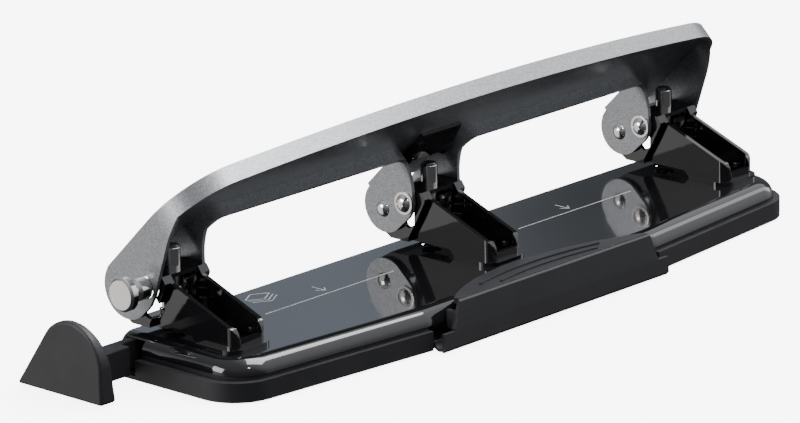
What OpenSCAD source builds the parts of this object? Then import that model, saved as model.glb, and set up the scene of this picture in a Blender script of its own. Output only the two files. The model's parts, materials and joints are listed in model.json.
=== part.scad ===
// Three-hole desktop paper punch, shown at rest with the handle up and the chip door shut.
// X runs along the punch with the middle hole at 0, +Y is the side the paper enters from, Z is up.
// The table is at z = 0 and the three punch pins stand on the line y = 0.

/* [Hole pattern] */
// distance between neighbouring hole centres
hole_pitch = 107.95; // [106:0.05:110]
// cutting diameter of the punch pins
pin_d = 6.35; // [6:0.05:6.6]
// diameter of the upper stem of each punch pin
pin_stem_d = 5.1; // [4.6:0.1:5.4]

/* [Base] */
// length of the base pan
base_len = 247.4; // [244:0.2:256]
// rear edge of the base pan behind the pin line
base_rear = 9.6; // [9.4:0.1:11]
// height of the pan skirt
pan_top = 6.2; // [5.8:0.1:6.4]
// bottom edge of the pan skirt, lifted by the rubber pads
pan_bottom = 0.4; // [0.3:0.1:0.6]
// top face of the steel base plate
plate_top = 12; // [11.8:0.1:12.1]
// sheet thickness of the steel base plate
plate_t = 1.1; // [0.9:0.1:1.2]
// height and width of the sloped front edge of the steel plate
plate_nose = 3.6; // [3:0.1:4]
// radius of the front corners of the base
corner_r = 13.5; // [12.5:0.5:15]

/* [Chip door] */
// half width of the raised door face
door_half = 45; // [44:0.5:46]
// half width of the lower door lip
lip_half = 49.6; // [49:0.2:50]
// height of the top front edge of the door
door_top = 14.5; // [13.6:0.1:14.8]

/* [Punch brackets] */
// half width of a bracket at the front
cheek_front = 6.8; // [6.6:0.1:7]
// half width of a bracket around the pivot
cheek_rear = 9; // [8.8:0.1:9]
// sheet thickness of the brackets
cheek_t = 1.4; // [1.2:0.1:1.5]
// height of the paper slot
slot_h = 2.2; // [1.8:0.1:2.4]
// depth of the paper slot in front of the pin line
slot_depth = 15.5; // [12:0.1:16]

/* [Handle] */
// half width of a handle leg
leg_half = 10.6; // [10.6:0.1:11]
// sheet thickness of the handle cover
skin = 1.2; // [1:0.1:1.2]
// height of the cover along its slope at the middle
beam_top = 62.2; // [58:0.2:64]
// radius of the long top curve
beam_r = 720; // [600:10:900]
// radius of the top end corners
beam_corner = 21; // [14:0.5:24]
// lower edge of the grip between the legs, along the slope
beam_low = 31.7; // [31:0.1:33]
// depth of the turned edge along the top
rim = 5.5; // [4:0.1:6]

/* [Paper guide] */
// outer face of the guide end plate from the middle hole
guide_out = 147; // [146:0.5:160]
// thickness of the guide end plate
guide_t = 6; // [4:0.5:7]

/* [Hidden] */
$fn = 96;
half_len = base_len / 2;
corner_x = half_len - corner_r;
front_mid = -46.7;
front_tilt = 0.1;
front_flat = 50;
front_c = front_mid + corner_r;
plate_in = 1.2;
plate_end_in = 1.4;
plate_rear = 8.8;
plate_low = 7.5;
under_top = plate_top - plate_t;
mouth_y = -45.5;
piv_y = 9.2;
piv_z = 23.2;
arm = 9.4;
arm_rest = 21;
arm_down = -16;
drv_y = piv_y - arm * cos(arm_rest);
drv_z = piv_z + arm * sin(arm_rest);
drv_low_z = piv_z + arm * sin(arm_down);
drv_mid_y = (piv_y - arm + drv_y) / 2;
web_low = plate_top + slot_h;
flange_top = 30.2;
flange_t = 1.15;
shank_top = 28.6;
pin_tip = 14.6;
pin_top = 37;
rivet_d = 3;
pivot_d = 3.6;
spring_low = web_low + cheek_t + 0.05;
spring_high = 24.2;
spring_wire = 0.5;
spring_mean = 7.5;
spring_turns = 3;
clip_t = 0.5;
clip_groove = 5;
tilt_org = 22.6;
piv_s = (piv_z - piv_y) / sqrt(2);
piv_n = tilt_org * sqrt(2) - (piv_y + piv_z) / sqrt(2);
drv_s = (drv_z - drv_y) / sqrt(2);
drv_n = tilt_org * sqrt(2) - (drv_y + drv_z) / sqrt(2);
end_x = hole_pitch + leg_half;
beam_cx = end_x - beam_corner;
beam_cs = beam_top - beam_r + sqrt(pow(beam_r - beam_corner, 2) - pow(beam_cx, 2));
beam_join = beam_cx + beam_corner * beam_cx / (beam_r - beam_corner);
window_r = 8;
web_foot = 10.5;
knob_out = 9.6;
sleeve_d = 6.6;
sleeve_gap = 0.15;
door_front = -51;
door_low = 0.15;
hinge_y = -48.6;
hinge_z = 2.9;
apron_r = 2.65;
flap_r = 69;
flap_y = -33.2 - flap_r;
flap_back_z = 12.5;
rib_r = 90;
rail_y0 = 4.3;
rail_y1 = 7.4;
rail_low = 1.9;
nose_wall_z = 15.8;
rail_top = under_top - 0.3;
rail_stop = 0.9;
// the end plate is a circle joined to a foot corner by its tangent, drawn a hair inside it
plate_cy = 2.3;
plate_cz = 10.7;
plate_r = 12.2;
plate_taper = 0.15;
chord_r = plate_r - 0.03;
plate_toe = [24.4, 0.5];
toe_len = norm([plate_toe[0] - plate_cy, plate_toe[1] - plate_cz]);
toe_dir = atan2(plate_toe[1] - plate_cz, plate_toe[0] - plate_cy) + acos(plate_r / toe_len);
bolt_spots = [[-113.5, -22.6], [113.5, -22.6], [-58, -36], [58, -36]];
foot_spots = [[-96, -31], [96, -31], [-96, 0], [96, 0], [0, 0]];
foot_rivet_y = [-19.6, -26];
nose_r = 2.8;
nose_y = -27.8;
foot_r = 4.7;
foot_half = cheek_front + 1.9;
foot_y = -27.2;
nose_gap = 4.4;
hole_x = [-hole_pitch, 0, hole_pitch];

// ---- shared shapes ----

// path through the corner centres of the base, front corners e inside the pan's own
function base_path(e, rear) = [
  [-corner_x + e, rear],
  [-corner_x + e, front_c + front_tilt * (corner_x - e - front_flat)],
  [-front_flat, front_c],
  [front_flat, front_c],
  [corner_x - e, front_c + front_tilt * (corner_x - e - front_flat)],
  [corner_x - e, rear]
];

// slab with the base outline and corners of radius r
module slab(r, e, rear, z0, z1) {
  path = base_path(e, rear);
  translate([0, 0, z0])
    linear_extrude(z1 - z0) {
      polygon(path);
      for (i = [0 : len(path) - 2]) {
        step = path[i + 1] - path[i];
        translate(path[i])
          rotate(atan2(step[1], step[0]))
            translate([0, -r])
              square([norm(step), r]);
      }
      for (i = [1 : len(path) - 2])
        translate(path[i])
          circle(r = r);
    }
}

// bar that takes a 45 degree slope off an edge, material kept on its +Y side
module edge_cut(len, ch) {
  translate([-len / 2, 0, 0])
    rotate([90, 0, 90])
      linear_extrude(len)
        polygon([[-2, -2], [ch + 2, ch + 2], [-2, ch + 2]]);
}

// slab with corners of radius r whose front and end edges slope off by ch
module sloped_slab(r, e, rear, z0, z1, ch) {
  cx = corner_x - e;
  cy = front_c + front_tilt * (cx - front_flat);
  mid_y = front_c - r;
  end_y = cy - r * norm([1, front_tilt]);
  run = cx - front_flat;
  difference() {
    translate([0, 0, z0])
      linear_extrude(z1 - z0)
        polygon([
          [-cx, rear],
          [cx, rear],
          [cx, end_y],
          [front_flat, mid_y],
          [-front_flat, mid_y],
          [-cx, end_y]
        ]);
    translate([0, mid_y, z1 - ch])
      edge_cut(2 * front_flat + 2, ch);
    for (sx = [-1, 1])
      translate([sx * (front_flat + run / 2), (mid_y + end_y) / 2, z1 - ch])
        rotate([0, 0, sx * atan((end_y - mid_y) / run)])
          edge_cut(run + 6, ch);
  }
  difference() {
    translate([-cx - r, cy, z0])
      cube([2 * (cx + r), rear - cy, z1 - z0]);
    for (sx = [-1, 1])
      translate([sx * (cx + r), 0, z1 - ch])
        rotate([0, 0, sx * 90])
          edge_cut(90, ch);
  }
  for (sx = [-1, 1]) {
    translate([sx * cx, cy, z0])
      cylinder(r = r, h = z1 - ch - z0);
    translate([sx * cx, cy, z1 - ch])
      cylinder(r1 = r, r2 = r - ch, h = ch);
  }
}

// moves a shape drawn on the handle slope into place
module on_slope() {
  translate([0, tilt_org, tilt_org])
    rotate([135, 0, 0])
      children();
}

// slot with round ends, standing along Z, pierced along X
module round_slot(w, z0, z1, len) {
  translate([0, 0, z0])
    rotate([0, 90, 0])
      cylinder(d = w, h = len, center = true);
  translate([0, 0, z1])
    rotate([0, 90, 0])
      cylinder(d = w, h = len, center = true);
  translate([-len / 2, -w / 2, z0])
    cube([len, w, z1 - z0]);
}

// ---- base ----

module base_plate() {
  color([0.07, 0.07, 0.08])
  difference() {
    sloped_slab(corner_r - plate_in, plate_end_in, plate_rear, plate_low, plate_top, plate_nose);
    sloped_slab(corner_r - plate_in - plate_t, plate_end_in, plate_rear - plate_t, plate_low - 1,
      under_top, plate_nose - 0.4);
    // notch for the flap of the chip door
    translate([0, flap_y, plate_low - 2])
      cylinder(r = flap_r + 0.6, h = 12, $fn = 180);
    // cutting holes
    for (x = hole_x)
      translate([x, 0, plate_top - 3])
        cylinder(d = pin_d + 0.12, h = 5);
    // end window for the guide rail
    translate([-half_len - 1, 0.2, plate_low - 1])
      cube([11, plate_rear - plate_t - 0.2, rail_top - plate_low + 1.25]);
    // rivet holes under the bracket feet
    for (x = hole_x)
      for (y = foot_rivet_y)
        translate([x, y, plate_top - 3])
          cylinder(d = 3, h = 5);
  }
}

module base_pan() {
  color([0.16, 0.16, 0.17])
  difference() {
    union() {
      difference() {
        slab(corner_r, 0, base_rear, pan_bottom, pan_top);
        slab(corner_r - 2.2, 0, base_rear - 1.6, pan_bottom + 1.2, 20);
      }
      // ledge under the edge of the steel plate
      difference() {
        slab(corner_r - 1.9, 0.9, base_rear - 1.4, pan_bottom + 1, plate_low - 0.05);
        slab(corner_r - 3.8, 0.9, base_rear - 2.6, pan_bottom, 20);
      }
      // wall between the chips and the guide rail
      translate([-113.9, rail_y0 - 1, pan_bottom + 1])
        cube([86, 0.7, under_top - pan_bottom - 1.1]);
      // screw posts
      for (p = bolt_spots)
        translate([p[0], p[1], pan_bottom])
          cylinder(d = 6.4, h = under_top - pan_bottom - 0.05);
      // arms that carry the door hinge
      for (sx = [-1, 1]) {
        translate([sx * 37.5 - 1.5, hinge_y, hinge_z - 0.7])
          cube([3, 4.6, 1.4]);
        translate([sx * 37.5 - 1.5, -45.4, pan_bottom + 0.1])
          cube([3, 2.6, hinge_z + 0.6 - pan_bottom]);
        translate([sx * 37.5 - 1.5, hinge_y, hinge_z])
          rotate([0, 90, 0])
            cylinder(r = 1.3, h = 3);
      }
    }
    // mouth of the chip tray, in three steps that leave the hinge arms
    for (span = [[-36, 72], [-lip_half - 0.4, lip_half - 38.6], [39, lip_half - 38.6]])
      translate([span[0], front_mid - 3, -1])
        cube([span[1], mouth_y - front_mid + 3, 12]);
    for (span = [[-36, 72], [-lip_half - 0.4, lip_half - 38.6], [39, lip_half - 38.6]])
      translate([span[0], front_mid - 3, pan_bottom + 1.2])
        cube([span[1], 9, 12]);
    for (sx = [-1, 1]) {
      translate([sx * 37.5 - 2, front_mid - 3, hinge_z + 1.4])
        cube([4, 9, 12]);
      translate([sx * 37.5 - 2, front_mid - 1, -1])
        cube([4, 1.8, hinge_z + 0.3]);
    }
    // hinge bores
    for (sx = [-1, 1])
      translate([sx * 37.5, hinge_y, hinge_z])
        rotate([0, 90, 0])
          cylinder(d = 1.3, h = 8, center = true);
    // end opening for the guide rail
    translate([-half_len - 1, 0.2, pan_bottom + 1.2])
      cube([10.8, rail_y1, 12]);
    // run for the guide rail in front of the rear wall
    translate([-half_len + 3, rail_y0 - 0.3, pan_bottom + 1.2])
      cube([94, base_rear - 1.6 - rail_y0 + 0.3, 12]);
    // screw holes and head pockets
    for (p = bolt_spots) {
      translate([p[0], p[1], pan_bottom - 1])
        cylinder(d = 2.92, h = 16);
      translate([p[0], p[1], pan_bottom - 1])
        cylinder(d = 5.8, h = 2.6);
    }
    // shallow seats for the rubber pads
    for (p = foot_spots)
      translate([p[0], p[1], pan_bottom - 1])
        cylinder(d = 9, h = 1.4);
  }
}

module punch_dies() {
  color([0.62, 0.62, 0.6])
  for (x = hole_x)
    translate([x, 0, under_top - 2.4])
      difference() {
        union() {
          cylinder(d = 11, h = 2.35);
          translate([-5.5, -9, 0])
            cube([11, 9, 2.35]);
        }
        translate([0, 0, -1])
          cylinder(d = pin_d + 0.1, h = 5);
        translate([-6, 3.2, -1])
          cube([12, 5, 5]);
      }
}

// side view of the outer face of the chip door
module door_side() {
  polygon([
    [door_front + 0.8, door_low],
    [door_front, door_low + 0.9],
    [door_front + 0.3, 6],
    [door_front + 1.1, door_top - 0.7],
    [door_front + 1.8, door_top],
    [-36, door_top],
    [-36, door_low]
  ]);
}

// inner side of the door skin
module door_inner() {
  polygon([
    [door_front + 1.3, pan_bottom - 1],
    [door_front + 1.3, 6],
    [door_front + 2.4, door_top - 1.6],
    [-30, door_top - 1.6],
    [-30, pan_bottom - 1]
  ]);
}

// ring rib on the door flap
module flap_rib(reach, half) {
  intersection() {
    translate([0, -reach - rib_r, 11])
      difference() {
        cylinder(r = rib_r, h = 4, $fn = 240);
        translate([0, 0, -1])
          cylinder(r = rib_r - 1.1, h = 6, $fn = 240);
      }
    rotate([90, 0, 90])
      translate([0, 0, -half])
        linear_extrude(2 * half)
          polygon([
            [door_front + 3, door_top - 0.6],
            [door_front + 3, door_top + 0.3],
            [-33, flap_back_z + 0.7],
            [-33, flap_back_z - 0.2]
          ]);
  }
}

module chip_door() {
  color([0.15, 0.15, 0.16])
  difference() {
    union() {
      // raised face, cut off behind the front skin
      difference() {
        translate([-door_half, 0, 0])
          rotate([90, 0, 90])
            linear_extrude(2 * door_half)
              door_side();
        translate([-door_half + 4, 0, 0])
          rotate([90, 0, 90])
            linear_extrude(2 * door_half - 8)
              door_inner();
        translate([-60, door_front + 1.8, -2])
          cube([120, 30, 20]);
      }
      // side cheeks of the raised face
      for (sx = [-1, 1])
        translate([sx * (door_half - 2.2) - 0.7, door_front + 1.5, 5.6])
          cube([1.4, 3.6, 5.4]);
      // lower lip, wider than the raised face
      intersection() {
        translate([-lip_half, 0, 0])
          rotate([90, 0, 90])
            linear_extrude(2 * lip_half)
              door_side();
        translate([-60, door_front - 1, 0])
          cube([120, 2.3, 5.8]);
      }
      // apron that closes the tray below the hinge line
      intersection() {
        translate([-lip_half, hinge_y, hinge_z])
          rotate([0, 90, 0])
            difference() {
              cylinder(r = apron_r, h = 2 * lip_half);
              translate([0, 0, -1])
                cylinder(r = apron_r - 0.8, h = 2 * lip_half + 2);
            }
        translate([-60, hinge_y - 1.6, hinge_z - 5])
          cube([120, 5, 5]);
      }
      // top flap with a curved rear edge, sloping down to the steel plate
      intersection() {
        translate([0, flap_y, 0])
          cylinder(r = flap_r, h = 20, $fn = 180);
        translate([-door_half + 3.4, 0, 0])
          rotate([90, 0, 90])
            linear_extrude(2 * door_half - 6.8)
              polygon([
                [door_front + 1.6, door_top - 1.7],
                [door_front + 1.6, door_top],
                [-33.2, flap_back_z],
                [-33.2, flap_back_z - 1.4]
              ]);
      }
      flap_rib(39, 26);
      flap_rib(44, 21);
      // knuckles
      for (sx = [-1, 1]) {
        translate([sx * 40.8 - 1.4, hinge_y, hinge_z])
          rotate([0, 90, 0])
            cylinder(r = 1.3, h = 2.8);
        translate([sx * 40.8 - 1.4, door_front + 0.8, hinge_z - 0.8])
          cube([2.8, hinge_y - door_front - 0.8, 1.6]);
      }
    }
    // hinge bores
    for (sx = [-1, 1])
      translate([sx * 40.8, hinge_y, hinge_z])
        rotate([0, 90, 0])
          cylinder(d = 1.3, h = 6, center = true);
    // sloping ends of the raised face
    for (sx = [-1, 1])
      translate([0, door_front - 3, 0])
        rotate([90, 0, 180])
          linear_extrude(8)
            polygon([
              [sx * (door_half - 0.1), 6.4],
              [sx * (door_half - 2.4), 13],
              [sx * (door_half - 3.6), 15.2],
              [sx * 60, 15.2],
              [sx * 60, 6.4]
            ]);
    // gaps in the apron for the hinge arms
    for (sx = [-1, 1])
      translate([sx * 37.5 - 1.9, hinge_y - 1.6, -1])
        cube([3.8, 6, 5.4]);
  }
}

module door_hinge_pins() {
  color([0.75, 0.75, 0.76])
  for (sx = [-1, 1])
    translate([sx * 39.1 - 3.1, hinge_y, hinge_z])
      rotate([0, 90, 0])
        cylinder(d = 1.2, h = 6.2);
}

// inner face of the end plate at height z, the plate thins towards its top
function plate_back(z) = -guide_out + guide_t + 0.3 - plate_taper * z;

module guide_rail() {
  color([0.17, 0.17, 0.18])
  difference() {
    union() {
      translate([0, rail_y1, 0])
        rotate([90, 0, 0])
          linear_extrude(rail_y1 - 0.9)
            polygon([
              [plate_back(rail_low), rail_low],
              [plate_back(rail_top), rail_top],
              [-half_len - rail_stop, rail_top],
              [-half_len - rail_stop, rail_low]
            ]);
      translate([-half_len - 2, rail_y0, rail_low])
        cube([83.4, rail_y1 - rail_y0, rail_top - rail_low]);
    }
    // hollow underside of the bar
    translate([-half_len + 4, rail_y0 + 0.9, 0])
      cube([70, rail_y1 - rail_y0 - 1.8, 8.4]);
  }
}

module guide_end_plate() {
  color([0.16, 0.16, 0.17])
  difference() {
    translate([-guide_out, 0, 0])
      rotate([90, 0, 90]) {
        linear_extrude(guide_t + 0.5)
          polygon([
            [plate_cy - chord_r, plate_toe[1] - 1],
            [plate_cy - chord_r, plate_cz],
            [plate_cy, plate_cz + 1],
            [plate_cy + chord_r * cos(toe_dir), plate_cz + chord_r * sin(toe_dir)],
            plate_toe,
            plate_toe + [0.6, -1]
          ]);
        translate([plate_cy, plate_cz, 0])
          cylinder(r = plate_r, h = guide_t + 0.5);
      }
    // flat bottom
    translate([-guide_out - 1, -15, plate_toe[1] - 5])
      cube([12, 45, 5]);
    // sloping inner face
    translate([0, 30, 0])
      rotate([90, 0, 0])
        linear_extrude(50)
          polygon([
            [plate_back(-4), -4],
            [plate_back(30), 30],
            [-guide_out + 12, 30],
            [-guide_out + 12, -4]
          ]);
  }
}

module rubber_feet() {
  color([0.1, 0.1, 0.1])
  for (p = foot_spots)
    translate([p[0], p[1], 0])
      cylinder(d = 8.8, h = pan_bottom + 0.35);
}

module pan_screws() {
  color([0.7, 0.7, 0.7])
  for (p = bolt_spots)
    translate([p[0], p[1], pan_bottom + 0.2])
      difference() {
        union() {
          cylinder(d = 5.4, h = 1.35);
          cylinder(d = 2.9, h = under_top - pan_bottom - 0.8);
        }
        translate([-2, -0.4, -1])
          cube([4, 0.8, 1.7]);
        translate([-0.4, -2, -1])
          cube([0.8, 4, 1.7]);
      }
}

// ---- punch brackets ----

// front part of a bracket seen from above, g inside its outer face
module bracket_nose(g) {
  w = cheek_front - g;
  inset = cheek_front - nose_r;
  for (sx = [-1, 1])
    translate([sx * inset, nose_y])
      circle(r = nose_r - g);
  translate([-w, nose_y])
    square([2 * w, 44]);
  translate([-inset, nose_y - nose_r + g])
    square([2 * inset, nose_r]);
}

// side view of the front part of one bracket
module bracket_side() {
  polygon([
    [7.6, web_low],
    [-slot_depth + 1.6, web_low],
    [-slot_depth - 0.6, plate_top],
    [-33, plate_top],
    [-33, nose_wall_z],
    [-30.6, nose_wall_z],
    [-30.3, 17.5],
    [-29.4, 18.8],
    [-28.4, 19.4],
    [-6.4, 28],
    [-4.9, flange_top],
    [4.6, flange_top],
    [piv_y + 0.6, piv_z + 5.45],
    [piv_y + 5.2, piv_z - 1.8],
    [12.2, web_low + 2.8]
  ]);
  translate([piv_y, piv_z])
    circle(r = 5.5);
}

// side view of the wider cheeks around the pivot
module bracket_ear(g) {
  difference() {
    bracket_side();
    polygon([
      [-40, 40],
      [-6.2 + g, 40],
      [-6.2 + g, 27.6],
      [-2.9 + g, 21.3],
      [0.6 + g, web_low + 1.2],
      [0.6 + g, 0],
      [-40, 0]
    ]);
  }
}

module bracket_shape(lock_pockets) {
  difference() {
    union() {
      difference() {
        union() {
          intersection() {
            translate([0, 0, plate_top - 1])
              linear_extrude(22)
                bracket_nose(0);
            translate([-12, 0, 0])
              rotate([90, 0, 90])
                linear_extrude(24)
                  bracket_side();
          }
          translate([-cheek_rear, 0, 0])
            rotate([90, 0, 90])
              linear_extrude(2 * cheek_rear)
                bracket_ear(0);
        }
        // hollow inside, open at the top and the rear
        difference() {
          union() {
            translate([0, 0, plate_top - 2])
              linear_extrude(24)
                bracket_nose(cheek_t);
            translate([-cheek_rear + cheek_t, 0, 0])
              rotate([90, 0, 90])
                linear_extrude(2 * (cheek_rear - cheek_t))
                  polygon([
                    [-6.2 + cheek_t, 40],
                    [-6.2 + cheek_t, 27.6],
                    [-2.9 + cheek_t, 21.3],
                    [0.6 + cheek_t, web_low + 1.2],
                    [0.6 + cheek_t, 10],
                    [20, 10],
                    [20, 40]
                  ]);
          }
          // floor over the paper slot
          translate([-12, 0, 0])
            rotate([90, 0, 90])
              linear_extrude(24)
                polygon([
                  [7.6, web_low - 4],
                  [7.6, web_low + cheek_t],
                  [-slot_depth + 0.8, web_low + cheek_t],
                  [-slot_depth - 1.4, plate_top + cheek_t],
                  [-34, plate_top + cheek_t],
                  [-34, web_low - 4]
                ]);
          // upper guide for the pin
          translate([-12, -4.9, flange_top - flange_t])
            cube([24, 9.5, flange_t]);
        }
      }
      // foot rim on the base plate
      translate([0, 0, plate_top])
        linear_extrude(1.2)
          difference() {
            union() {
              for (sx = [-1, 1])
                translate([sx * (foot_half - foot_r), foot_y])
                  circle(r = foot_r);
              translate([-foot_half, foot_y])
                square([2 * foot_half, -foot_y - slot_depth - 1.8]);
              translate([-foot_half + foot_r, foot_y - foot_r])
                square([2 * (foot_half - foot_r), foot_r + 1]);
            }
            bracket_nose(1);
          }
    }
    // low front wall between the two cheeks
    translate([-nose_gap, nose_y - nose_r - 2, nose_wall_z])
      cube([2 * nose_gap, nose_r + 3, 8]);
    // pin bores
    translate([0, 0, plate_top])
      cylinder(d = pin_d + 0.1, h = 10);
    translate([0, 0, flange_top - 3])
      cylinder(d = pin_stem_d + 0.12, h = 6);
    // pivot bore
    translate([0, piv_y, piv_z])
      rotate([0, 90, 0])
        cylinder(d = pivot_d + 0.1, h = 30, center = true);
    // travel slot for the drive rivet
    translate([0, drv_mid_y, 0])
      round_slot(rivet_d + 1.2, drv_low_z, drv_z, 30);
    // round pockets that the lock sleeve enters with the handle up or down
    if (lock_pockets)
      for (z = [drv_z, drv_low_z])
        translate([-14, drv_mid_y, z])
          rotate([0, 90, 0])
            cylinder(d = sleeve_d + 0.9, h = 10);
    // rivet holes in the foot
    for (y = foot_rivet_y)
      translate([0, y, plate_top - 1])
        cylinder(d = 3, h = 5);
  }
}

module bracket_left() {
  color([0.05, 0.05, 0.06])
  translate([-hole_pitch, 0, 0])
    bracket_shape(true);
}

module bracket_centre() {
  color([0.05, 0.05, 0.06])
  bracket_shape(false);
}

module bracket_right() {
  color([0.05, 0.05, 0.06])
  translate([hole_pitch, 0, 0])
    bracket_shape(false);
}

module foot_rivets() {
  color([0.12, 0.12, 0.13])
  for (x = hole_x)
    for (y = foot_rivet_y)
      translate([x, y, 0]) {
        translate([0, 0, under_top - 0.9])
          cylinder(d = 4.6, h = 0.9);
        translate([0, 0, under_top - 0.5])
          cylinder(d = 2.9, h = plate_t + cheek_t + 1);
        translate([0, 0, plate_top + cheek_t])
          cylinder(d1 = 4.8, d2 = 3.4, h = 0.9);
      }
}

// ---- punch pins ----

module pin_shape() {
  difference() {
    union() {
      translate([0, 0, pin_tip])
        cylinder(d = pin_d, h = shank_top - pin_tip);
      translate([0, 0, shank_top - 0.2])
        cylinder(d = pin_stem_d, h = pin_top - 0.6 - shank_top);
      translate([0, 0, pin_top - 0.8])
        cylinder(d1 = pin_stem_d, d2 = pin_stem_d - 1.4, h = 0.8);
    }
    // hollow-ground cutting end
    translate([0, 0, pin_tip - 2])
      rotate([0, 90, 0])
        cylinder(d = 6, h = 12, center = true);
    // cross slot for the drive rivet
    translate([-6, drv_mid_y - 2, drv_z - rivet_d / 2 - 0.05])
      cube([12, 4, rivet_d + 0.1]);
    // groove for the clip
    translate([0, 0, spring_high])
      difference() {
        cylinder(d = pin_d + 2, h = clip_t);
        translate([0, 0, -1])
          cylinder(d = clip_groove, h = 3);
      }
  }
}

module punch_pin_left() {
  color([0.8, 0.8, 0.82])
  translate([-hole_pitch, 0, 0])
    pin_shape();
}

module punch_pin_centre() {
  color([0.8, 0.8, 0.82])
  pin_shape();
}

module punch_pin_right() {
  color([0.8, 0.8, 0.82])
  translate([hole_pitch, 0, 0])
    pin_shape();
}

module clip_shape() {
  translate([0, 0, spring_high])
    difference() {
      cylinder(d = 9.2, h = clip_t);
      translate([0, 0, -1])
        cylinder(d = clip_groove, h = 3);
      translate([-1.7, 0, -1])
        cube([3.4, 8, 3]);
    }
}

module pin_clip_left() {
  color([0.45, 0.45, 0.47])
  translate([-hole_pitch, 0, 0])
    clip_shape();
}

module pin_clip_centre() {
  color([0.45, 0.45, 0.47])
  clip_shape();
}

module pin_clip_right() {
  color([0.45, 0.45, 0.47])
  translate([hole_pitch, 0, 0])
    clip_shape();
}

// return spring as rings joined by short risers
module spring_shape() {
  base_z = spring_low + spring_wire / 2 + 0.02;
  rise = (spring_high - spring_low - spring_wire - 0.1) / spring_turns;
  for (i = [0 : spring_turns])
    translate([0, 0, base_z + i * rise])
      rotate_extrude($fn = 64)
        translate([spring_mean / 2, 0])
          circle(d = spring_wire, $fn = 24);
  for (i = [0 : spring_turns - 1])
    translate([(i % 2 == 0 ? 1 : -1) * spring_mean / 2, 0, base_z + i * rise])
      cylinder(d = spring_wire * 0.8, h = rise, $fn = 24);
}

module spring_left() {
  color([0.6, 0.6, 0.62])
  translate([-hole_pitch, 0, 0])
    spring_shape();
}

module spring_centre() {
  color([0.6, 0.6, 0.62])
  spring_shape();
}

module spring_right() {
  color([0.6, 0.6, 0.62])
  translate([hole_pitch, 0, 0])
    spring_shape();
}

// ---- handle ----

// outline of the cover on its slope, drawn g inside the outer face
module cover_outline(g) {
  union() {
    intersection() {
      translate([0, beam_top - beam_r])
        circle(r = beam_r - g, $fn = 720);
      translate([-beam_join, 0])
        square([2 * beam_join, 80]);
    }
    for (sx = [-1, 1])
      translate([sx * beam_cx, beam_cs])
        circle(r = beam_corner - g);
    translate([-end_x + g, 0])
      square([2 * (end_x - g), beam_cs]);
  }
}

// opening between two legs, grown by g
module window_outline(g) {
  x0 = leg_half - g;
  x1 = hole_pitch - leg_half + g;
  r = window_r + g;
  union() {
    translate([x0, -2])
      square([x1 - x0, beam_low + g - r + 2]);
    translate([x0 + r, 0])
      square([x1 - x0 - 2 * r, beam_low + g]);
    translate([x0 + r, beam_low + g - r])
      circle(r = r);
    translate([x1 - r, beam_low + g - r])
      circle(r = r);
  }
}

// side view of an end wall along the slope
module end_profile() {
  translate([12, 9])
    circle(r = 9);
  polygon([
    [12, 0],
    [90, 0],
    [90, rim],
    [43, rim],
    [20, 16.8],
    [16, 18],
    [12, 18]
  ]);
}

// side view of an inner leg wall and of the turned edge under the grip
module inner_profile() {
  translate([11, 8.9])
    circle(r = 8);
  translate([16, 9.6])
    circle(r = 7.5);
  polygon([
    [11, 0],
    [90, 0],
    [90, 5.1],
    [31.7, 5.1],
    [29, 6],
    [21.65, 14.45],
    [16, 17.1],
    [11, 16.9]
  ]);
}

module handle_cover() {
  color([0.72, 0.73, 0.75])
  on_slope()
  difference() {
    union() {
      // sloped back
      difference() {
        linear_extrude(skin)
          cover_outline(0);
        for (sx = [0, 1])
          mirror([sx, 0, 0])
            translate([0, 0, -1])
              linear_extrude(4)
                window_outline(0);
        translate([-130, web_foot - 20, -1])
          cube([260, 20, 4]);
      }
      // turned edge along the top and the end walls
      intersection() {
        linear_extrude(20)
          difference() {
            cover_outline(0);
            cover_outline(skin);
            translate([-130, -3])
              square([260, 4]);
          }
        translate([-130, 0, 0])
          rotate([90, 0, 90])
            linear_extrude(260)
              end_profile();
      }
      // inner leg walls and the turned edge under the grip
      for (sx = [0, 1])
        mirror([sx, 0, 0])
          intersection() {
            linear_extrude(20)
              difference() {
                window_outline(skin);
                window_outline(0);
              }
            rotate([90, 0, 90])
              linear_extrude(130)
                inner_profile();
          }
    }
    // pivot and drive holes
    translate([0, piv_s, piv_n])
      rotate([0, 90, 0])
        cylinder(d = pivot_d, h = 260, center = true);
    translate([-leg_half - 2, drv_s, drv_n])
      rotate([0, 90, 0])
        cylinder(d = rivet_d, h = 140);
    // running hole for the lock rod and the wider hole for its sleeve
    translate([-hole_pitch + leg_half - 3, drv_s, drv_n])
      rotate([0, 90, 0])
        cylinder(d = rivet_d + 0.1, h = 6);
    translate([-end_x - 2, drv_s, drv_n])
      rotate([0, 90, 0])
        cylinder(d = sleeve_d + 0.1, h = 5);
  }
}

module leg_stiffener() {
  color([0.06, 0.06, 0.07])
  on_slope() {
    translate([-8, 0, 0])
      rotate([90, 0, 90])
        linear_extrude(16)
          polygon([
            [37.8, skin + 0.02],
            [37.8, skin + 1],
            [28, skin + 3.4],
            [28, skin + 2.4],
            [34, skin + 0.9],
            [34, skin + 0.02]
          ]);
    for (sx = [-1, 1])
      translate([sx * 8.05 - 0.45, 0, 0])
        rotate([90, 0, 90])
          linear_extrude(0.9)
            polygon([
              [37.8, skin + 0.02],
              [37.8, skin + 1],
              [29, skin + 3.3],
              [25.6, 4.6],
              [23.5, skin + 0.9],
              [23.5, skin + 0.02]
            ]);
  }
}

// domed rivet through a leg, along X
module cross_rivet(shaft_d, head_d, half) {
  rotate([0, 90, 0])
    cylinder(d = shaft_d, h = 2 * half, center = true);
  for (sx = [-1, 1])
    translate([sx * half, 0, 0])
      intersection() {
        translate([-sx * head_d * 0.34, 0, 0])
          sphere(r = head_d * 0.605);
        translate([sx * head_d * 0.25 - head_d * 0.25, -head_d, -head_d])
          cube([head_d * 0.5, 2 * head_d, 2 * head_d]);
      }
}

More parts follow.
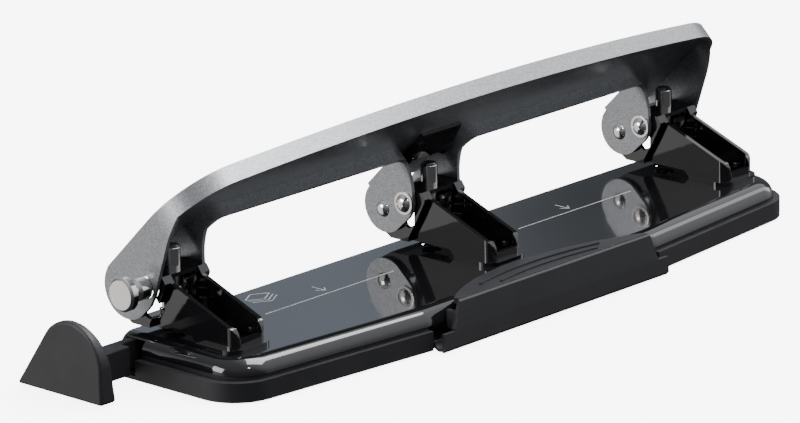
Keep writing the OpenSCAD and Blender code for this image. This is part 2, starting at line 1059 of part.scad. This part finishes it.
module pivot_rivets() {
  color([0.85, 0.85, 0.86])
  for (x = hole_x)
    translate([x, piv_y, piv_z])
      cross_rivet(pivot_d - 0.02, 5.2, leg_half + 0.02);
}

module drive_rivets() {
  color([0.85, 0.85, 0.86])
  for (x = [0, hole_pitch])
    translate([x, drv_y, drv_z])
      cross_rivet(rivet_d - 0.02, 5.6, leg_half + 0.6);
}

module drive_washers() {
  color([0.8, 0.8, 0.82])
  for (x = [0, hole_pitch])
    for (sx = [-1, 1])
      translate([x + sx * (leg_half + 0.31), drv_y, drv_z])
        rotate([0, 90, 0])
          difference() {
            cylinder(d = 7, h = 0.56, center = true);
            cylinder(d = rivet_d + 0.02, h = 2, center = true);
          }
}

module lock_knob() {
  color([0.85, 0.85, 0.86])
  translate([-end_x - sleeve_gap, drv_y, drv_z])
    rotate([0, 90, 0]) {
      translate([0, 0, -3.6])
        cylinder(d = sleeve_d, h = 3.6);
      translate([0, 0, -4.6])
        cylinder(d1 = 5, d2 = sleeve_d, h = 1.05);
      translate([0, 0, -6.4])
        cylinder(d = 5, h = 1.9);
      translate([0, 0, -7.2])
        cylinder(d1 = 7.6, d2 = 5, h = 0.9);
      translate([0, 0, -knob_out + 0.7])
        cylinder(d = 10, h = 1.75);
      translate([0, 0, -knob_out])
        cylinder(d1 = 8.6, d2 = 10, h = 0.75);
      translate([0, 0, -0.2])
        cylinder(d = rivet_d - 0.02, h = 2 * leg_half + 0.6);
    }
}

// ---- what is drawn ----

base_plate();
base_pan();
punch_dies();
chip_door();
door_hinge_pins();
guide_rail();
guide_end_plate();
bracket_left();
bracket_centre();
bracket_right();
foot_rivets();
punch_pin_left();
punch_pin_centre();
punch_pin_right();
spring_left();
spring_centre();
spring_right();
pin_clip_left();
pin_clip_centre();
pin_clip_right();
handle_cover();
leg_stiffener();
pivot_rivets();
drive_rivets();
drive_washers();
lock_knob();
pan_screws();
rubber_feet();
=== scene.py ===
"""Looks of the three-hole paper punch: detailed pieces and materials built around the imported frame."""

import json
import math

import bmesh
import bpy
from mathutils import Matrix, Vector


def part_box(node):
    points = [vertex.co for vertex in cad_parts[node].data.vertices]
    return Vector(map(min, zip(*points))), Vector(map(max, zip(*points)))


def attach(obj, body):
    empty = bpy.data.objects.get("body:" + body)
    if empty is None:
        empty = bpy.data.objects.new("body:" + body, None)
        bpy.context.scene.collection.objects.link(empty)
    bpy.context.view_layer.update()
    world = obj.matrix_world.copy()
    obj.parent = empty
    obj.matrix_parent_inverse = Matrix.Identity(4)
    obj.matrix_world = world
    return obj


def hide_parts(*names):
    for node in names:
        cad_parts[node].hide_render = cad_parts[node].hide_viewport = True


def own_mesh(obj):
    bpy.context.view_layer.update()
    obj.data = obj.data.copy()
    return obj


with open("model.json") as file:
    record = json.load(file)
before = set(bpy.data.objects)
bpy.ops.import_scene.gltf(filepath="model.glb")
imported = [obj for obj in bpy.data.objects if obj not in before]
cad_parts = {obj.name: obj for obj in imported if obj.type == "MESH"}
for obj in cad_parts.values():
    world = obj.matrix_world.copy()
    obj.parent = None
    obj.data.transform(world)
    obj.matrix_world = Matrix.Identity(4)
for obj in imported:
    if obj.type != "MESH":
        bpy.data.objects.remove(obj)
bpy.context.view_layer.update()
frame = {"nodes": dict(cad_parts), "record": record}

MM = 0.001
PITCH = 107.95 * MM
HOLES = (-PITCH, 0.0, PITCH)
PLATE_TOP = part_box("base_plate")[1].z

# steel plate, in millimetres: heights, sheet, radii, and the centres of its corner arcs on the right
PLATE_HEIGHT = 12.0
PLATE_LOW = 7.5
PLATE_REAR = 8.8
SHEET = 1.1
NOSE_RADIUS = 5.3
CORNER_RADIUS = 12.3
END_CORNER = (108.8, -27.32)
FRONT_CORNER = (50.0, -33.2)
FRONT_SLANT_DEG = 5.7
NOSE_STEPS = 12
PUNCH_HOLE_RADIUS = 3.235
NOTCH_Y = -102.2
NOTCH_RADIUS = 69.6
RIM_ROLL = 0.9
# middle and size of the window that the guide rail slides through
GUIDE_WINDOW = ((-119.2, 3.95, 8.4), (11.0, 7.5, 4.9))

# the outer face of the sloping handle lies where y + z is this
HANDLE_FACE = 0.0452
CUT_EDGE_WEIGHT = 0.14

# studio surround: (height from 0 below to 1 above, tone)
WORLD_TONES = (
    (0.3, (0.03, 0.03, 0.032)),
    (0.6, (0.16, 0.165, 0.175)),
    (0.95, (0.5, 0.51, 0.53)),
)
# pale lobes of the surround: direction, cosines where it starts and where it is full, colour added
WORLD_LOBES = (
    ((-0.75, 0.60, -0.27), 0.62, 0.93, (0.95, 0.93, 0.91)),
    ((0.70, -0.285, 0.654), 0.45, 0.92, (0.9, 0.91, 0.93)),
)


# ---- scene helpers ----

def link_object(name, data):
    made = bpy.data.objects.new(name, data)
    bpy.context.scene.collection.objects.link(made)
    return made


def finish_mesh(name, work):
    """Turns a bmesh into a mesh and frees it."""
    mesh = bpy.data.meshes.new(name)
    work.to_mesh(mesh)
    work.free()
    return mesh


def baked_mesh(source):
    """Mesh of an object with its modifiers applied; the object itself goes."""
    graph = bpy.context.evaluated_depsgraph_get()
    final = bpy.data.meshes.new_from_object(source.evaluated_get(graph))
    bpy.data.objects.remove(source)
    return final


def frame_matrix(across, rise, normal, place):
    """Matrix with these three axes and this origin."""
    rows = [[across[i], rise[i], normal[i], place[i]] for i in range(3)]
    return Matrix(rows + [[0, 0, 0, 1]])


# ---- camera, lights and floor ----

def add_camera():
    """Long lens from the front left, a little above the desk."""
    right = Vector((0.677874, -0.734948, -0.018402))
    up = Vector((0.221346, 0.180159, 0.958409))
    back = Vector((-0.701065, -0.653754, 0.284803))
    place = Vector((-1.141487, -1.052351, 0.483064))
    data = bpy.data.cameras.new("camera")
    data.lens = 245.27
    data.sensor_width = 36.0
    data.sensor_fit = "HORIZONTAL"
    data.clip_end = 50.0
    camera = link_object("camera", data)
    camera.matrix_world = frame_matrix(right, up, back, place)
    bpy.context.scene.camera = camera


def add_softbox(name, place, target, width, height, watts):
    data = bpy.data.lights.new(name, "AREA")
    data.shape = "RECTANGLE"
    data.size = width
    data.size_y = height
    data.energy = watts
    lamp = link_object(name, data)
    lamp.location = place
    aim = Vector(target) - Vector(place)
    lamp.rotation_euler = aim.to_track_quat("-Z", "Y").to_euler()
    lamp.visible_camera = False


def add_lobe(tree, direction, total, aim, start, stop, colour):
    """Adds colour to total round the direction aim and returns the sum."""
    dot = tree.nodes.new("ShaderNodeVectorMath")
    dot.operation = "DOT_PRODUCT"
    dot.inputs[1].default_value = Vector(aim).normalized()
    fade = tree.nodes.new("ShaderNodeMapRange")
    fade.interpolation_type = "SMOOTHSTEP"
    fade.inputs["From Min"].default_value = start
    fade.inputs["From Max"].default_value = stop
    add = tree.nodes.new("ShaderNodeMix")
    add.data_type = "RGBA"
    add.blend_type = "ADD"
    add.clamp_result = False
    add.inputs["B"].default_value = (*colour, 1)
    tree.links.new(direction, dot.inputs[0])
    tree.links.new(dot.outputs["Value"], fade.inputs["Value"])
    tree.links.new(fade.outputs["Result"], add.inputs["Factor"])
    tree.links.new(total, add.inputs["A"])
    return add.outputs["Result"]


def add_world():
    """Studio surround: a soft vertical gradient with pale lobes at the back left and the front right."""
    world = bpy.data.worlds.new("studio")
    world.use_nodes = True
    tree = world.node_tree
    tree.nodes.clear()
    coord = tree.nodes.new("ShaderNodeTexCoord")
    split = tree.nodes.new("ShaderNodeSeparateXYZ")
    level = tree.nodes.new("ShaderNodeMapRange")
    level.inputs["From Min"].default_value = -1.0
    ramp = tree.nodes.new("ShaderNodeValToRGB")
    stops = ramp.color_ramp.elements
    while len(stops) < len(WORLD_TONES):
        stops.new(0.5)
    for stop, (position, tone) in zip(stops, WORLD_TONES):
        stop.position = position
        stop.color = (*tone, 1)
    tree.links.new(coord.outputs["Generated"], split.inputs[0])
    tree.links.new(split.outputs["Z"], level.inputs["Value"])
    tree.links.new(level.outputs[0], ramp.inputs[0])
    total = ramp.outputs[0]
    for lobe in WORLD_LOBES:
        total = add_lobe(tree, coord.outputs["Generated"], total, *lobe)
    background = tree.nodes.new("ShaderNodeBackground")
    output = tree.nodes.new("ShaderNodeOutputWorld")
    tree.links.new(total, background.inputs[0])
    tree.links.new(background.outputs[0], output.inputs[0])
    bpy.context.scene.world = world


def card_material(name, ends, strength):
    """Glow whose tone runs from ends[0] to ends[1], each a place along the card and a colour."""
    material = bpy.data.materials.new(name)
    material.use_nodes = True
    nodes = material.node_tree.nodes
    links = material.node_tree.links
    nodes.clear()
    coord = nodes.new("ShaderNodeTexCoord")
    split = nodes.new("ShaderNodeSeparateXYZ")
    fade = nodes.new("ShaderNodeMapRange")
    fade.interpolation_type = "SMOOTHSTEP"
    fade.inputs["From Min"].default_value = ends[0][0]
    fade.inputs["From Max"].default_value = ends[1][0]
    tone = nodes.new("ShaderNodeMix")
    tone.data_type = "RGBA"
    tone.inputs["A"].default_value = (*ends[0][1], 1)
    tone.inputs["B"].default_value = (*ends[1][1], 1)
    glow = nodes.new("ShaderNodeEmission")
    glow.inputs["Strength"].default_value = strength
    output = nodes.new("ShaderNodeOutputMaterial")
    links.new(coord.outputs["Object"], split.inputs[0])
    links.new(split.outputs["X"], fade.inputs["Value"])
    links.new(fade.outputs["Result"], tone.inputs["Factor"])
    links.new(tone.outputs["Result"], glow.inputs["Color"])
    links.new(glow.outputs[0], output.inputs["Surface"])
    return material


def add_card(name, place, aim, width, height, ends, strength):
    """Flat emitter facing aim that the camera and the diffuse light don't see."""
    normal = Vector(aim).normalized()
    across = (Vector((1, 0, 0)) - normal.x * normal).normalized()
    x, y = width / 2, height / 2
    work = bmesh.new()
    corners = [(-x, -y), (x, -y), (x, y), (-x, y)]
    work.faces.new([work.verts.new((*corner, 0)) for corner in corners])
    card = link_object(name, finish_mesh(name, work))
    card.matrix_world = frame_matrix(across, normal.cross(across), normal, place)
    card.data.materials.append(card_material(name, ends, strength))
    card.visible_camera = False
    card.visible_diffuse = False
    card.visible_shadow = False


def add_floor():
    """Plain pale table that stays out of the reflections."""
    bpy.ops.mesh.primitive_plane_add(size=12, location=(0, 0, -0.0001))
    floor = bpy.context.object
    floor.name = "floor"
    material = bpy.data.materials.new("pale_floor")
    material.use_nodes = True
    shader = material.node_tree.nodes["Principled BSDF"]
    shader.inputs["Base Color"].default_value = (0.9, 0.9, 0.9, 1)
    shader.inputs["Roughness"].default_value = 0.9
    shader.inputs["Specular IOR Level"].default_value = 0.0
    shader.inputs["Emission Color"].default_value = (1, 1, 1, 1)
    shader.inputs["Emission Strength"].default_value = 6.0
    floor.data.materials.append(material)
    floor.visible_glossy = False
    floor.visible_diffuse = False


# ---- materials ----

class Finish:
    """A principled material with its node tree at hand."""

    def __init__(self, name, colour, metallic=0.0, roughness=0.5):
        self.material = bpy.data.materials.new(name)
        self.material.use_nodes = True
        self.nodes = self.material.node_tree.nodes
        self.links = self.material.node_tree.links
        self.shader = self.nodes["Principled BSDF"]
        self.shader.inputs["Base Color"].default_value = (*colour, 1)
        self.shader.inputs["Metallic"].default_value = metallic
        self.shader.inputs["Roughness"].default_value = roughness
        self.coord = self.nodes.new("ShaderNodeTexCoord")

    def put(self, **values):
        names = {"coat": "Coat Weight", "coat_roughness": "Coat Roughness", "specular": "Specular IOR Level"}
        for key, value in values.items():
            self.shader.inputs[names[key]].default_value = value

    def stretched(self, scale):
        mapping = self.nodes.new("ShaderNodeMapping")
        mapping.inputs["Scale"].default_value = scale
        self.links.new(self.coord.outputs["Object"], mapping.inputs["Vector"])
        return mapping.outputs["Vector"]

    def noise(self, scale, detail=2.0, vector=None):
        node = self.nodes.new("ShaderNodeTexNoise")
        node.inputs["Scale"].default_value = scale
        node.inputs["Detail"].default_value = detail
        self.links.new(vector or self.coord.outputs["Object"], node.inputs["Vector"])
        return node.outputs["Fac"]

    def flakes(self, scale):
        node = self.nodes.new("ShaderNodeTexVoronoi")
        node.inputs["Scale"].default_value = scale
        self.links.new(self.coord.outputs["Object"], node.inputs["Vector"])
        grey = self.nodes.new("ShaderNodeSeparateColor")
        self.links.new(node.outputs["Color"], grey.inputs[0])
        return grey.outputs[0]

    def spread(self, value, low, high, start=0.3, stop=0.7):
        node = self.nodes.new("ShaderNodeMapRange")
        node.inputs["From Min"].default_value = start
        node.inputs["From Max"].default_value = stop
        node.inputs["To Min"].default_value = low
        node.inputs["To Max"].default_value = high
        self.links.new(value, node.inputs["Value"])
        return node.outputs["Result"]

    def tint(self, value, dark, light):
        node = self.nodes.new("ShaderNodeMix")
        node.data_type = "RGBA"
        node.inputs["A"].default_value = (*dark, 1)
        node.inputs["B"].default_value = (*light, 1)
        self.links.new(value, node.inputs["Factor"])
        self.links.new(node.outputs["Result"], self.shader.inputs["Base Color"])

    def rough(self, value):
        self.links.new(value, self.shader.inputs["Roughness"])

    def bump(self, heights, strength, distance):
        """Adds up bumps from several height patterns."""
        normal = None
        for height in heights:
            node = self.nodes.new("ShaderNodeBump")
            node.inputs["Strength"].default_value = strength
            node.inputs["Distance"].default_value = distance
            self.links.new(height, node.inputs["Height"])
            if normal is not None:
                self.links.new(normal, node.inputs["Normal"])
            normal = node.outputs["Normal"]
        self.links.new(normal, self.shader.inputs["Normal"])


def black_enamel():
    """Gloss stoved enamel with faint orange peel."""
    f = Finish("black_enamel", (0.006, 0.006, 0.007), 0.0, 0.06)
    f.put(coat=0.6, coat_roughness=0.03)
    f.rough(f.spread(f.noise(35, 4), 0.04, 0.11))
    f.tint(f.noise(60, 3), (0.004, 0.004, 0.005), (0.009, 0.009, 0.010))
    f.bump([f.noise(420, 2)], 0.06, 0.0002)
    return f.material


def charcoal_plastic():
    """Moulded ABS with a fine spark texture."""
    f = Finish("charcoal_plastic", (0.022, 0.022, 0.025), 0.0, 0.5)
    f.put(specular=0.4)
    f.rough(f.spread(f.noise(90, 5), 0.42, 0.58))
    f.tint(f.noise(25, 4), (0.018, 0.018, 0.021), (0.028, 0.028, 0.031))
    f.bump([f.noise(2600, 3), f.noise(900, 2)], 0.12, 0.0001)
    return f.material


def silver_paint():
    """Metallic flake paint under a satin coat."""
    f = Finish("silver_paint", (0.4, 0.42, 0.45), 0.72, 0.36)
    f.put(coat=0.25, coat_roughness=0.18)
    flakes = f.flakes(3400)
    f.tint(flakes, (0.21, 0.22, 0.235), (0.36, 0.37, 0.385))
    f.rough(f.spread(f.noise(1500, 3), 0.32, 0.42))
    f.bump([flakes], 0.07, 0.0001)
    return f.material


def polished_steel():
    """Bright plating with faint handling marks."""
    f = Finish("polished_steel", (0.82, 0.81, 0.79), 1.0, 0.07)
    f.rough(f.spread(f.noise(300, 5), 0.04, 0.12))
    f.tint(f.noise(120, 3), (0.78, 0.77, 0.75), (0.86, 0.85, 0.83))
    f.bump([f.noise(1400, 4, f.stretched((1, 1, 0.08)))], 0.04, 0.0001)
    return f.material


def ground_steel(name, colour):
    """Ground or drawn steel with fine lines round the part."""
    f = Finish(name, colour, 1.0, 0.28)
    lines = f.noise(5200, 2, f.stretched((0.12, 0.12, 1)))
    f.rough(f.spread(lines, 0.2, 0.36))
    f.tint(f.noise(200, 4), tuple(0.85 * c for c in colour), colour)
    f.bump([lines], 0.08, 0.0001)
    return f.material


def black_rubber():
    """Matt rubber of the pads."""
    f = Finish("black_rubber", (0.014, 0.014, 0.014), 0.0, 0.8)
    f.rough(f.spread(f.noise(500, 4), 0.7, 0.9))
    f.bump([f.noise(1800, 3)], 0.2, 0.0002)
    return f.material


def white_print():
    """Screen printed ink."""
    f = Finish("white_print", (0.62, 0.63, 0.65), 0.0, 0.5)
    f.tint(f.noise(900, 3), (0.5, 0.51, 0.53), (0.68, 0.69, 0.71))
    return f.material


MATERIALS = {
    "black_steel": black_enamel(),
    "charcoal_plastic": charcoal_plastic(),
    "silver_paint": silver_paint(),
    "polished_steel": polished_steel(),
    "bright_steel": ground_steel("bright_steel", (0.6, 0.6, 0.6)),
    "tool_steel": ground_steel("tool_steel", (0.42, 0.42, 0.43)),
    "spring_steel": ground_steel("spring_steel", (0.36, 0.36, 0.37)),
    "black_rubber": black_rubber(),
    "white_print": white_print(),
}
SLOT_OF = {s["node"]: s["material_slot"] for s in frame["record"]["subparts"]}
BODY_OF = {n: b for b, ns in frame["record"]["behaviour"]["bodies"].items() for n in ns}


# node, rounding of its edges in millimetres, steps in that rounding
ROUNDED_NODES = (
    ("base_pan", 0.45, 3),
    ("chip_door", 0.5, 3),
    ("guide_rail", 0.5, 3),
    ("guide_end_plate", 1.0, 4),
    ("leg_stiffener", 0.25, 2),
    ("pivot_rivets", 0.1, 2),
    ("drive_rivets", 0.1, 2),
    ("drive_washers", 0.12, 2),
    ("lock_knob", 0.25, 3),
    ("foot_rivets", 0.15, 2),
)


# ---- mesh helpers ----

def add_piece(name, mesh, body, slot, replaced=()):
    piece = link_object(name, mesh)
    mesh.materials.clear()
    mesh.materials.append(MATERIALS[slot])
    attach(piece, body)
    if replaced:
        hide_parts(*replaced)
    return piece


def mark_smooth(work, sharp_deg):
    """Smooth faces with hard edges only where the fold is sharper than sharp_deg."""
    limit = math.radians(sharp_deg)
    for face in work.faces:
        face.smooth = True
    for edge in work.edges:
        edge.smooth = not (edge.is_manifold and edge.calc_face_angle(0.0) > limit)


def clean_copy(node):
    """A welded copy of a CAD node's mesh with its flat faces joined up."""
    work = bmesh.new()
    work.from_mesh(frame["nodes"][node].data)
    bmesh.ops.remove_doubles(work, verts=work.verts, dist=2e-6)
    bmesh.ops.dissolve_limit(
        work, angle_limit=math.radians(0.4), use_dissolve_boundaries=False,
        verts=work.verts, edges=work.edges)
    for layer in list(work.loops.layers.uv):
        work.loops.layers.uv.remove(layer)
    return work


def rounded(node, width, segments=3, fold_deg=28.0, weight=None):
    """Replaces a CAD node with a copy whose edges are rounded to width; weight(edge) scales it."""
    work = clean_copy(node)
    layer = work.edges.layers.float.new("bevel_weight_edge")
    limit = math.radians(fold_deg)
    for edge in work.edges:
        folded = edge.is_manifold and edge.calc_face_angle(0.0) > limit
        edge[layer] = (1.0 if weight is None else weight(edge)) if folded else 0.0
    source = link_object(node + "_source", finish_mesh(node + "_round", work))
    bevel = source.modifiers.new("round", "BEVEL")
    bevel.limit_method = "WEIGHT"
    bevel.width = width
    bevel.segments = segments
    bevel.use_clamp_overlap = True
    bevel.miter_outer = "MITER_ARC"
    final = baked_mesh(source)
    work = bmesh.new()
    work.from_mesh(final)
    bmesh.ops.remove_doubles(work, verts=work.verts, dist=1e-6)
    mark_smooth(work, 32)
    work.to_mesh(final)
    work.free()
    piece = add_piece(node + "_shell", final, BODY_OF[node], SLOT_OF[node], [node])
    normals = piece.modifiers.new("even_normals", "WEIGHTED_NORMAL")
    normals.keep_sharp = True
    normals.weight = 60


def tube_mesh(name, path, radius, sides=12):
    """Round bar swept along a list of points."""
    work = bmesh.new()
    rings = []
    for i, point in enumerate(path):
        ahead = path[min(i + 1, len(path) - 1)] - path[max(i - 1, 0)]
        ahead.normalize()
        side = ahead.cross(Vector((0, 0, 1)))
        side.normalize()
        rise = side.cross(ahead)
        turn = [2 * math.pi * k / sides for k in range(sides)]
        spokes = [radius * (math.cos(a) * side + math.sin(a) * rise) for a in turn]
        rings.append([work.verts.new(point + spoke) for spoke in spokes])
    for low, high in zip(rings, rings[1:]):
        for k in range(sides):
            work.faces.new((low[k], low[(k + 1) % sides], high[(k + 1) % sides], high[k]))
    work.faces.new(rings[0][::-1])
    work.faces.new(rings[-1])
    bmesh.ops.recalc_face_normals(work, faces=work.faces)
    mark_smooth(work, 40)
    return finish_mesh(name, work)


# ---- pieces ----

def add_springs():
    """Wound return springs in place of the plain rings."""
    wire = 0.25 * MM
    coil = 3.75 * MM
    turns = 4.0
    steps = int(turns * 28)
    closed = 0.7
    closed_lift = 0.07
    for side, x in zip(("left", "centre", "right"), HOLES):
        low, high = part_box("spring_" + side)
        bottom = low.z + wire
        lift = high.z - low.z - 2 * wire
        path = []
        for i in range(steps + 1):
            t = i / steps
            # closed end turns, open ones between
            eased = min(max((t * turns - closed) / (turns - 2 * closed), 0.0), 1.0)
            angle = 2 * math.pi * turns * t
            height = bottom + lift * (closed_lift * t + (1 - closed_lift) * eased)
            path.append(Vector((x + coil * math.cos(angle), coil * math.sin(angle), height)))
        coil_mesh = tube_mesh("coil", path, wire)
        piece = add_piece("return_coil_" + side, coil_mesh, "base", "spring_steel", ["spring_" + side])
        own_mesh(piece)


def outline_ring(inset, z):
    """Points along the left, front and right edge of the steel plate, inset from it."""
    radius = CORNER_RADIUS - inset
    end_x, end_y = END_CORNER
    front_x, front_y = FRONT_CORNER
    spots = [(-end_x, end_y), (-front_x, front_y), (front_x, front_y), (end_x, end_y)]
    turns = [180.0, 270.0 - FRONT_SLANT_DEG, 270.0, 270.0 + FRONT_SLANT_DEG, 360.0]
    ring = [(-end_x - radius, PLATE_REAR)]
    for (cx, cy), low, high in zip(spots, turns, turns[1:]):
        steps = max(int((high - low) / 4), 2)
        for i in range(steps + 1):
            angle = math.radians(low + (high - low) * i / steps)
            ring.append((cx + radius * math.cos(angle), cy + radius * math.sin(angle)))
    ring.append((end_x + radius, PLATE_REAR))
    return [Vector((x * MM, y * MM, z * MM)) for x, y in ring]


def nose_sections():
    """The outside and the inside of the sheet's round edge, each as (inset, height) pairs."""
    mid = PLATE_HEIGHT - NOSE_RADIUS
    dip = math.degrees(math.asin((PLATE_LOW - mid) / NOSE_RADIUS))
    angles = [math.radians(dip + (90 - dip) * i / NOSE_STEPS) for i in range(NOSE_STEPS + 1)]
    inner = NOSE_RADIUS - SHEET
    outside = [(NOSE_RADIUS * (1 - math.cos(a)), mid + NOSE_RADIUS * math.sin(a)) for a in angles]
    inside = [(NOSE_RADIUS - inner * math.cos(a), mid + inner * math.sin(a)) for a in angles[::-1]]
    inside[-1] = (inside[-1][0], PLATE_LOW)
    return outside, inside


def plate_blank():
    """The plate as a bent sheet, without its holes and its notch."""
    outside, inside = nose_sections()
    work = bmesh.new()
    rings = [[work.verts.new(p) for p in outline_ring(inset, z)] for inset, z in outside + inside]
    upper, under = rings[NOSE_STEPS], rings[NOSE_STEPS + 1]
    for a, b in zip(rings, rings[1:] + rings[:1]):
        if a is upper:
            continue
        for k in range(len(a) - 1):
            work.faces.new((a[k], a[k + 1], b[k + 1], b[k]))
    work.faces.new(upper)
    work.faces.new(under[::-1])
    # rear edge of the sheet, one strip from end to end
    work.faces.new([r[0] for r in rings] + [r[-1] for r in rings[::-1]])
    bmesh.ops.recalc_face_normals(work, faces=work.faces)
    return link_object("plate_source", finish_mesh("plate_round", work))


def plate_cutter():
    """Drums for the door notch and the punch holes, and a box for the guide window."""
    work = bmesh.new()
    drums = [(0, NOTCH_Y, NOTCH_RADIUS, 240)]
    drums += [(x / MM, 0, PUNCH_HOLE_RADIUS, 48) for x in HOLES]
    for x, y, radius, sides in drums:
        bmesh.ops.create_cone(
            work, cap_ends=True, segments=sides, radius1=radius * MM, radius2=radius * MM, depth=0.02,
            matrix=Matrix.Translation((x * MM, y * MM, 0.011)))
    middle, size = (Vector(v) * MM for v in GUIDE_WINDOW)
    bmesh.ops.create_cube(work, size=1.0, matrix=Matrix.Translation(middle) @ Matrix.Diagonal((*size, 1)))
    return link_object("cutter", finish_mesh("cutter", work))


def on_notch(edge):
    """True for the upper edge of the plate along the door notch."""
    centre = Vector((0, NOTCH_Y * MM))
    for vert in edge.verts:
        off = abs((vert.co.xy - centre).length - NOTCH_RADIUS * MM)
        if off > 0.02 * MM or vert.co.z < (PLATE_LOW + 1) * MM:
            return False
    sharp = edge.is_manifold and edge.calc_face_angle(0) > 0.5
    return sharp and any(face.normal.z > 0.3 for face in edge.link_faces)


def add_round_plate():
    """Steel plate drawn with a full round front edge and a rolled rim along the door notch."""
    source = plate_blank()
    tool = plate_cutter()
    cut = source.modifiers.new("cut", "BOOLEAN")
    cut.operation = "DIFFERENCE"
    cut.solver = "EXACT"
    cut.object = tool
    final = baked_mesh(source)
    bpy.data.objects.remove(tool)
    work = bmesh.new()
    work.from_mesh(final)
    bmesh.ops.remove_doubles(work, verts=work.verts, dist=1e-6)
    rim = [edge for edge in work.edges if on_notch(edge)]
    bmesh.ops.bevel(
        work, geom=rim, offset=RIM_ROLL * MM, segments=4, affect="EDGES", profile=0.5, clamp_overlap=True)
    mark_smooth(work, 30)
    work.to_mesh(final)
    work.free()
    piece = add_piece("base_plate_shell", final, "base", "black_steel", ["base_plate"])
    normals = piece.modifiers.new("even_normals", "WEIGHTED_NORMAL")
    normals.keep_sharp = True


def add_strips(name, lines, width):
    """Thin printed bars on the plate along lines, each a pair of points in millimetres."""
    low_z = PLATE_TOP + 0.004 * MM
    high_z = PLATE_TOP + 0.03 * MM
    work = bmesh.new()
    for start, end in lines:
        a, b = Vector(start) * MM, Vector(end) * MM
        along = (b - a).normalized()
        side = Vector((-along.y, along.x)) * width * MM / 2
        corners = [a - side, b - side, b + side, a + side]
        low = [work.verts.new((p.x, p.y, low_z)) for p in corners]
        high = [work.verts.new((p.x, p.y, high_z)) for p in corners]
        work.faces.new(high)
        work.faces.new(low[::-1])
        for k in range(4):
            j = (k + 1) % 4
            work.faces.new((low[k], low[j], high[j], high[k]))
    add_piece(name, finish_mesh(name, work), "base", "white_print")


def add_print():
    """White guide line, arrows and a small stack-of-sheets sign on the plate."""
    line_y, line_width = -11, 0.4
    add_strips("guide_line_left", [((-82, line_y), (-28, line_y))], line_width)
    add_strips("guide_line_right", [((27, line_y), (79, line_y))], line_width)
    for name, x in (("arrow_left", -54.5), ("arrow_right", 53.0)):
        tip = (x, -8.7)
        barbs = [(tip, (x + reach, -6.4)) for reach in (-1.8, 1.8)]
        add_strips(name, [((x, -3), (x, -8.6))] + barbs, line_width)
    cx, cy = -71.5, 1.0
    sheets = []
    for drop in (0.0, 1.5, 3.0):
        y = cy - drop
        corners = [(cx - 5, y + 1.4), (cx, y + 4.4), (cx + 5, y + 1.4), (cx, y - 1.6)]
        ring = list(zip(corners, corners[1:] + corners[:1]))
        # the upper sheet hides the far sides of those below
        sheets += ring if drop == 0.0 else ring[2:]
    add_strips("sheet_sign", sheets, 0.35)


def fold_weight(edge):
    """Full rounding on the outer folds of the cover, a light one on its cut edges."""
    depth = [(HANDLE_FACE - v.co.y - v.co.z) / math.sqrt(2) for v in edge.verts]
    return 1.0 if max(depth) < 0.2 * MM else CUT_EDGE_WEIGHT


def add_shells():
    """Rounded copies of the CAD nodes that have visible edges."""
    rounded("handle_cover", 2.2 * MM, 5, 25.0, fold_weight)
    for side in ("left", "centre", "right"):
        rounded("bracket_" + side, 0.45 * MM, 3)
        rounded("punch_pin_" + side, 0.12 * MM, 2)
    add_round_plate()
    for node, width, segments in ROUNDED_NODES:
        rounded(node, width * MM, segments)


def finish_cad_nodes():
    """Every CAD node that still shows gets its slot's finish."""
    for name, node in frame["nodes"].items():
        node.data.materials.clear()
        node.data.materials.append(MATERIALS[SLOT_OF[name]])


add_camera()
add_world()
add_floor()
add_softbox("overhead", (0.35, -0.25, 1.1), (0, 0, 0.03), 0.9, 0.7, 20)
add_softbox("left_fill", (-1.1, 0.45, 0.5), (0, 0, 0.03), 0.7, 0.5, 9)
add_softbox("point_glint", (-0.35, -0.75, 0.85), (-0.05, -0.04, 0.02), 0.07, 0.07, 1.2)

# what the plate top mirrors: pale on the left, dark on the right
add_card("plate_card", (0.561, 0.503, 0.240), (-0.701, -0.654, -0.285), 1.2, 0.5,
         ((-0.06, (0.40, 0.45, 0.52)), (0.07, (0.13, 0.14, 0.15))), 1.0)
# what the right half of the rounded front edge mirrors
add_card("edge_card", (0.70, -0.12, 0.30), (-0.701, 0.285, -0.654), 0.62, 0.16,
         ((-0.31, (0.2, 0.2, 0.2)), (-0.2, (1, 1, 1))), 3.2)

add_shells()
add_springs()
add_print()
finish_cad_nodes()
